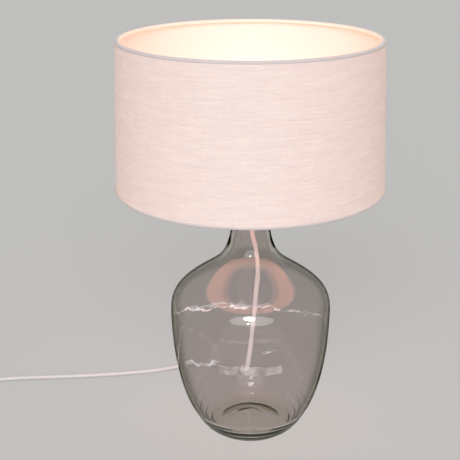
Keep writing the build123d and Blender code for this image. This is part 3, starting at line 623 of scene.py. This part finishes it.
ON_TABLE = CORD / 2 + 0.05
IN_SWITCH = 8.5  # height of the cord's axis in the switch
IN_PLUG = 7.0
RELIEF_END = 81  # from the middle of the switch to where the cord starts to bend
to_switch = cord_curve(
    "lead_to_switch",
    [
        hole_point(12), hole_point(34), (-17, 122, 8.5), (-31, 138, ON_TABLE),
        (-56, 149.5, ON_TABLE), (-86, 146, ON_TABLE), (-122, 130.5, ON_TABLE),
        (-160, 122.5, ON_TABLE), (-208, 115.4, ON_TABLE), (-262, 111, ON_TABLE),
        (-320, 107.5, ON_TABLE), (-371, 92, ON_TABLE),
        (SWITCH[0], SWITCH[1] + RELIEF_END, IN_SWITCH), (SWITCH[0], SWITCH[1] + 24.5, IN_SWITCH),
    ],
    ["cord_to_switch"],
)


def coil_points():
    """Five and a quarter turns: three inwards on the table, then outwards on top of them."""
    turns, per_turn = 5.25, 16
    swell = 1.013  # a NURBS curve cuts inside its points by this much
    points = []
    for k in range(1, int(turns * per_turn) + 1):
        s = k / per_turn
        inwards = step(s, 0.8, 0.97) + step(s, 1.8, 1.97)
        outwards = step(s, 3.42, 3.58) + step(s, 4.42, 4.58)
        r = (COIL_OUTER_TURN - CORD * (inwards - outwards)) * swell
        z = 3.3 + (CORD + 0.05) * step(s, 2.6, 2.8)
        a = math.pi + 2 * math.pi * s
        points.append((COIL[0] + r * math.cos(a), COIL[1] + r * math.sin(a), float(z)))
    return points


coiled = cord_curve(
    "lead_to_plug",
    [
        (SWITCH[0], SWITCH[1] - 24.5, IN_SWITCH), (SWITCH[0], SWITCH[1] - RELIEF_END, IN_SWITCH),
        (COIL[0] - COIL_OUTER_TURN, COIL[1] + 1, 3.3),
        *coil_points(),
        (COIL[0] + 29, PLUG[1], 5.2), (PLUG[0] - 75, PLUG[1], ON_TABLE),
        (PLUG[0] - 54, PLUG[1], IN_PLUG), (PLUG[0] - 19.5, PLUG[1], IN_PLUG),
    ],
    ["cord_to_coil", "cord_coil", "cord_to_plug"],
)


# Other CAD nodes --------------------------------------------------------------------------
def moulded(name, colour, roughness):
    """Moulded plastic, rubber or glass: a faint orange peel and a slightly uneven gloss."""
    look = Look(name, Base_Color=colour, Specular_IOR_Level=0.5, Coat_Weight=0.1)
    place = look.place()
    look.set(Normal=look.bump(look.noise(place, 900.0, detail=2), 0.00006, strength=0.25))
    uneven = look.noise(place, 60.0, detail=4)
    look.set(Roughness=look.range(uneven, 0.3, 0.7, roughness - 0.06, roughness + 0.10))
    return look.set(Base_Color=look.blend(uneven, tuple(c * 0.94 for c in colour), colour))


def metal(name, colour, roughness, grain):
    """Brushed or plated metal; grain is how fine its marks are along each axis."""
    look = Look(name, Base_Color=colour, Metallic=1.0)
    place = look.place()
    lines = look.noise(look.scaled(place, grain), 1.0)
    look.set(Roughness=look.range(lines, 0.3, 0.7, roughness - 0.08, roughness + 0.14))
    look.set(Normal=look.bump(lines, 0.00004, strength=0.3))
    worn = look.noise(place, 120.0, detail=5)
    return look.set(Base_Color=look.blend(worn, tuple(c * 0.86 for c in colour), colour))


MOULDED = [
    ("white_plastic", (0.80, 0.79, 0.77), 0.32, [
        "nipple_bush", "holder_base", "holder_skirt", "shade_clamp_ring", "switch_base",
        "switch_cover", "switch_rocker", "rocker_plunger", "cord_clamps", "plug_body",
    ]),
    ("grommet_plastic", (0.52, 0.50, 0.49), 0.45, ["cord_grommet"]),
    ("relief_plastic", (0.74, 0.725, 0.71), 0.45, ["switch_reliefs", "plug_relief"]),
    ("grey_rubber", (0.04, 0.04, 0.042), 0.6, ["neck_plug"]),
    ("ceramic_core", (0.78, 0.75, 0.69), 0.4, ["contact_core"]),
    ("core_brown", (0.10, 0.045, 0.02), 0.4, ["live_core", "switch_cores"]),
    ("core_blue", (0.02, 0.07, 0.25), 0.4, ["neutral_core"]),
    ("white_wire", (0.78, 0.77, 0.75), 0.4, [
        "top_wire_ring", "bottom_wire_ring", "spider_hub", "spider_arms",
    ]),
    ("black_glass", (0.01, 0.01, 0.012), 0.15, ["bulb_insulator"]),
    ("phosphor", (0.85, 0.50, 0.06), 0.6, ["bulb_filaments"]),
    ("tie_plastic", (0.62, 0.61, 0.60), 0.5, ["cord_tie"]),
    ("black_sleeve", (0.012, 0.012, 0.013), 0.35, ["pin_sleeves"]),
]
METALS = [
    ("brushed_metal", (0.70, 0.68, 0.65), 0.3, (40, 40, 1400), ["bottle_cap"]),
    ("zinc_steel", (0.62, 0.63, 0.65), 0.34, (300, 300, 300), [
        "clamp_washer", "lock_nuts", "threaded_nipple", "locking_screw", "holder_terminal_screws",
        "plunger_spring", "terminal_screws", "clamp_screws", "cover_screws",
    ]),
    ("nickel", (0.72, 0.69, 0.64), 0.18, (200, 200, 200), [
        "screw_shell", "bulb_cap", "filament_wires", "plug_pins",
    ]),
    ("brass", (0.78, 0.56, 0.24), 0.3, (200, 200, 200), [
        "centre_contact", "side_contact", "holder_terminals", "contact_lever", "lever_bracket",
        "fixed_contact", "neutral_bar",
    ]),
    ("solder", (0.50, 0.50, 0.51), 0.5, (500, 500, 500), ["bulb_contact"]),
]
for name, colour, roughness, painted in MOULDED:
    paint(moulded(name, colour, roughness), *painted)
for name, colour, roughness, grain, painted in METALS:
    paint(metal(name, colour, roughness, grain), *painted)

opal = moulded("opal_glass", (0.86, 0.82, 0.74), 0.22)
opal.set(Emission_Color=(1.0, 0.72, 0.42), Emission_Strength=1.6)
paint(opal, "bulb_envelope", "bulb_stem")

# Floor ------------------------------------------------------------------------------------
# The camera sees a plain pale floor. Rays through the glass see it a little brighter, with a
# patchy bright ring, and mirrored rays see it dark, with a patchy bright ring and a pale spot
# under the foot: they stand for the cards and windows of a studio round the lamp.
GREY = (0.527, 0.521, 0.509)
DARK = (0.012, 0.013, 0.011)
MIRRORED_RING = (0.24, 0.018, 7.0)  # radius, half width, strength
SEEN_THROUGH_RING = (0.395, 0.022, 5.0)
UNDER_FOOT = (0.08, 0.65)  # radius, strength
FRONT_SECTOR = 0.70  # radians to each side
FLOOR_GLOW = (0.545, 0.62)  # to the camera, and through the glass


def floor_look():
    look = Look("floor", Roughness=0.9, Specular_IOR_Level=0.0)
    where = look.place()
    rays = look.add("ShaderNodeLightPath").outputs
    passing = rays["Is Transmission Ray"]
    mirrored = look.math("SUBTRACT", rays["Is Glossy Ray"], passing, clamp=True)
    grain = look.noise(where, 40.0, detail=4)
    pale = look.blend(grain, (0.28, 0.277, 0.27), (0.288, 0.284, 0.277))
    look.set(Base_Color=look.blend(mirrored, pale, DARK))
    away = look.add("ShaderNodeVectorMath", {0: where}, operation="LENGTH").outputs["Value"]
    patchy = look.range(look.noise(where, 14.0), 0.38, 0.56)
    sector = look.math("LESS_THAN", look.distance(look.azimuth(look.split(where)), 0.0), FRONT_SECTOR)

    def ring(radius, half_width, strength):
        inside = look.math("LESS_THAN", look.distance(away, radius), half_width)
        return look.product(inside, sector, patchy, strength)

    under = look.product(look.math("LESS_THAN", away, UNDER_FOOT[0]), UNDER_FOOT[1])
    to_mirrors = look.sum(ring(*MIRRORED_RING), under)
    to_others = look.sum(
        look.range(passing, 0.0, 1.0, *FLOOR_GLOW), look.product(ring(*SEEN_THROUGH_RING), passing)
    )
    values = {0: mirrored, 2: to_others, 3: to_mirrors}  # the float sockets of a Mix node
    strength = look.add("ShaderNodeMix", values).outputs[0]
    return look.set(Emission_Color=GREY, Emission_Strength=strength)


bpy.ops.mesh.primitive_circle_add(vertices=96, radius=40, fill_type="NGON", location=(0, 0, 0))
floor_piece = bpy.context.object
floor_piece.name = "floor"
floor_piece.data.materials.append(floor_look().material)

# World, which shows each kind of ray what the floor shows it -------------------------------
world = bpy.data.worlds.new("studio")
bpy.context.scene.world = world
world.use_nodes = True
tree = world.node_tree
path = tree.nodes.new("ShaderNodeLightPath")


def background(colour, strength):
    node = tree.nodes.new("ShaderNodeBackground")
    set_inputs(node, {"Color": colour, "Strength": strength})
    return node.outputs[0]


seen = background((1.0, 0.995, 0.985), 0.41)
for kind, colour, strength in (
    ("Is Glossy Ray", (0.95, 0.98, 1.0), 0.13),
    ("Is Transmission Ray", GREY, 0.9),
    ("Is Camera Ray", GREY, 1.0),
):
    choice = tree.nodes.new("ShaderNodeMixShader")
    set_inputs(choice, {0: path.outputs[kind], 1: seen, 2: background(colour, strength)})
    seen = choice.outputs[0]
set_inputs(tree.nodes["World Output"], {"Surface": seen})


# Lights -----------------------------------------------------------------------------------
def lamp(name, kind, energy, location, aim=(0, 0, 0), colour=(1, 1, 1), hidden_from=(), **props):
    data = bpy.data.lights.new(name, kind)
    data.energy = energy
    data.color = colour
    for key, value in props.items():
        setattr(data, key, value)
    piece = bpy.data.objects.new(name, data)
    piece.location = location
    piece.rotation_euler = (Vector(aim) - Vector(location)).to_track_quat("-Z", "Y").to_euler()
    for rays in hidden_from:
        setattr(piece, "visible_" + rays, False)
    bpy.context.scene.collection.objects.link(piece)


def sun(name, energy, location, spread, colour=(1, 1, 1)):
    """Broad soft light, without a reflection in the glass."""
    lamp(
        name, "SUN", energy, location, colour=colour, hidden_from=("glossy", "transmission"),
        angle=math.radians(spread),
    )


def reflection(name, energy, location, aim_height, width, height):
    """A panel that is only seen as a reflection in the glass."""
    lamp(
        name, "AREA", energy, location, (0, 0, aim_height), hidden_from=("diffuse",),
        shape="ELLIPSE", size=width, size_y=height,
    )


sun("key", 1.95, (-0.08, -1.4, 0.9), 40, (0.98, 1.0, 1.02))
reflection("haze", 17.0, (0.05, -1.6, 1.35), 0.16, 2.2, 1.3)
reflection("softbox", 7.0, (-0.05, -1.25, 1.45), 0.16, 0.42, 0.45)
sun("back_fill", 0.6, (0.5, 1.3, 0.9), 60)
reflection("spark", 2.0, (-0.06, -1.5, 1.02), 0.23, 0.13, 0.16)
lamp(
    "bulb_light", "POINT", 0.235, (0.006, 0.014, 0.403), colour=(1.0, 0.64, 0.50),
    shadow_soft_size=0.031,
)
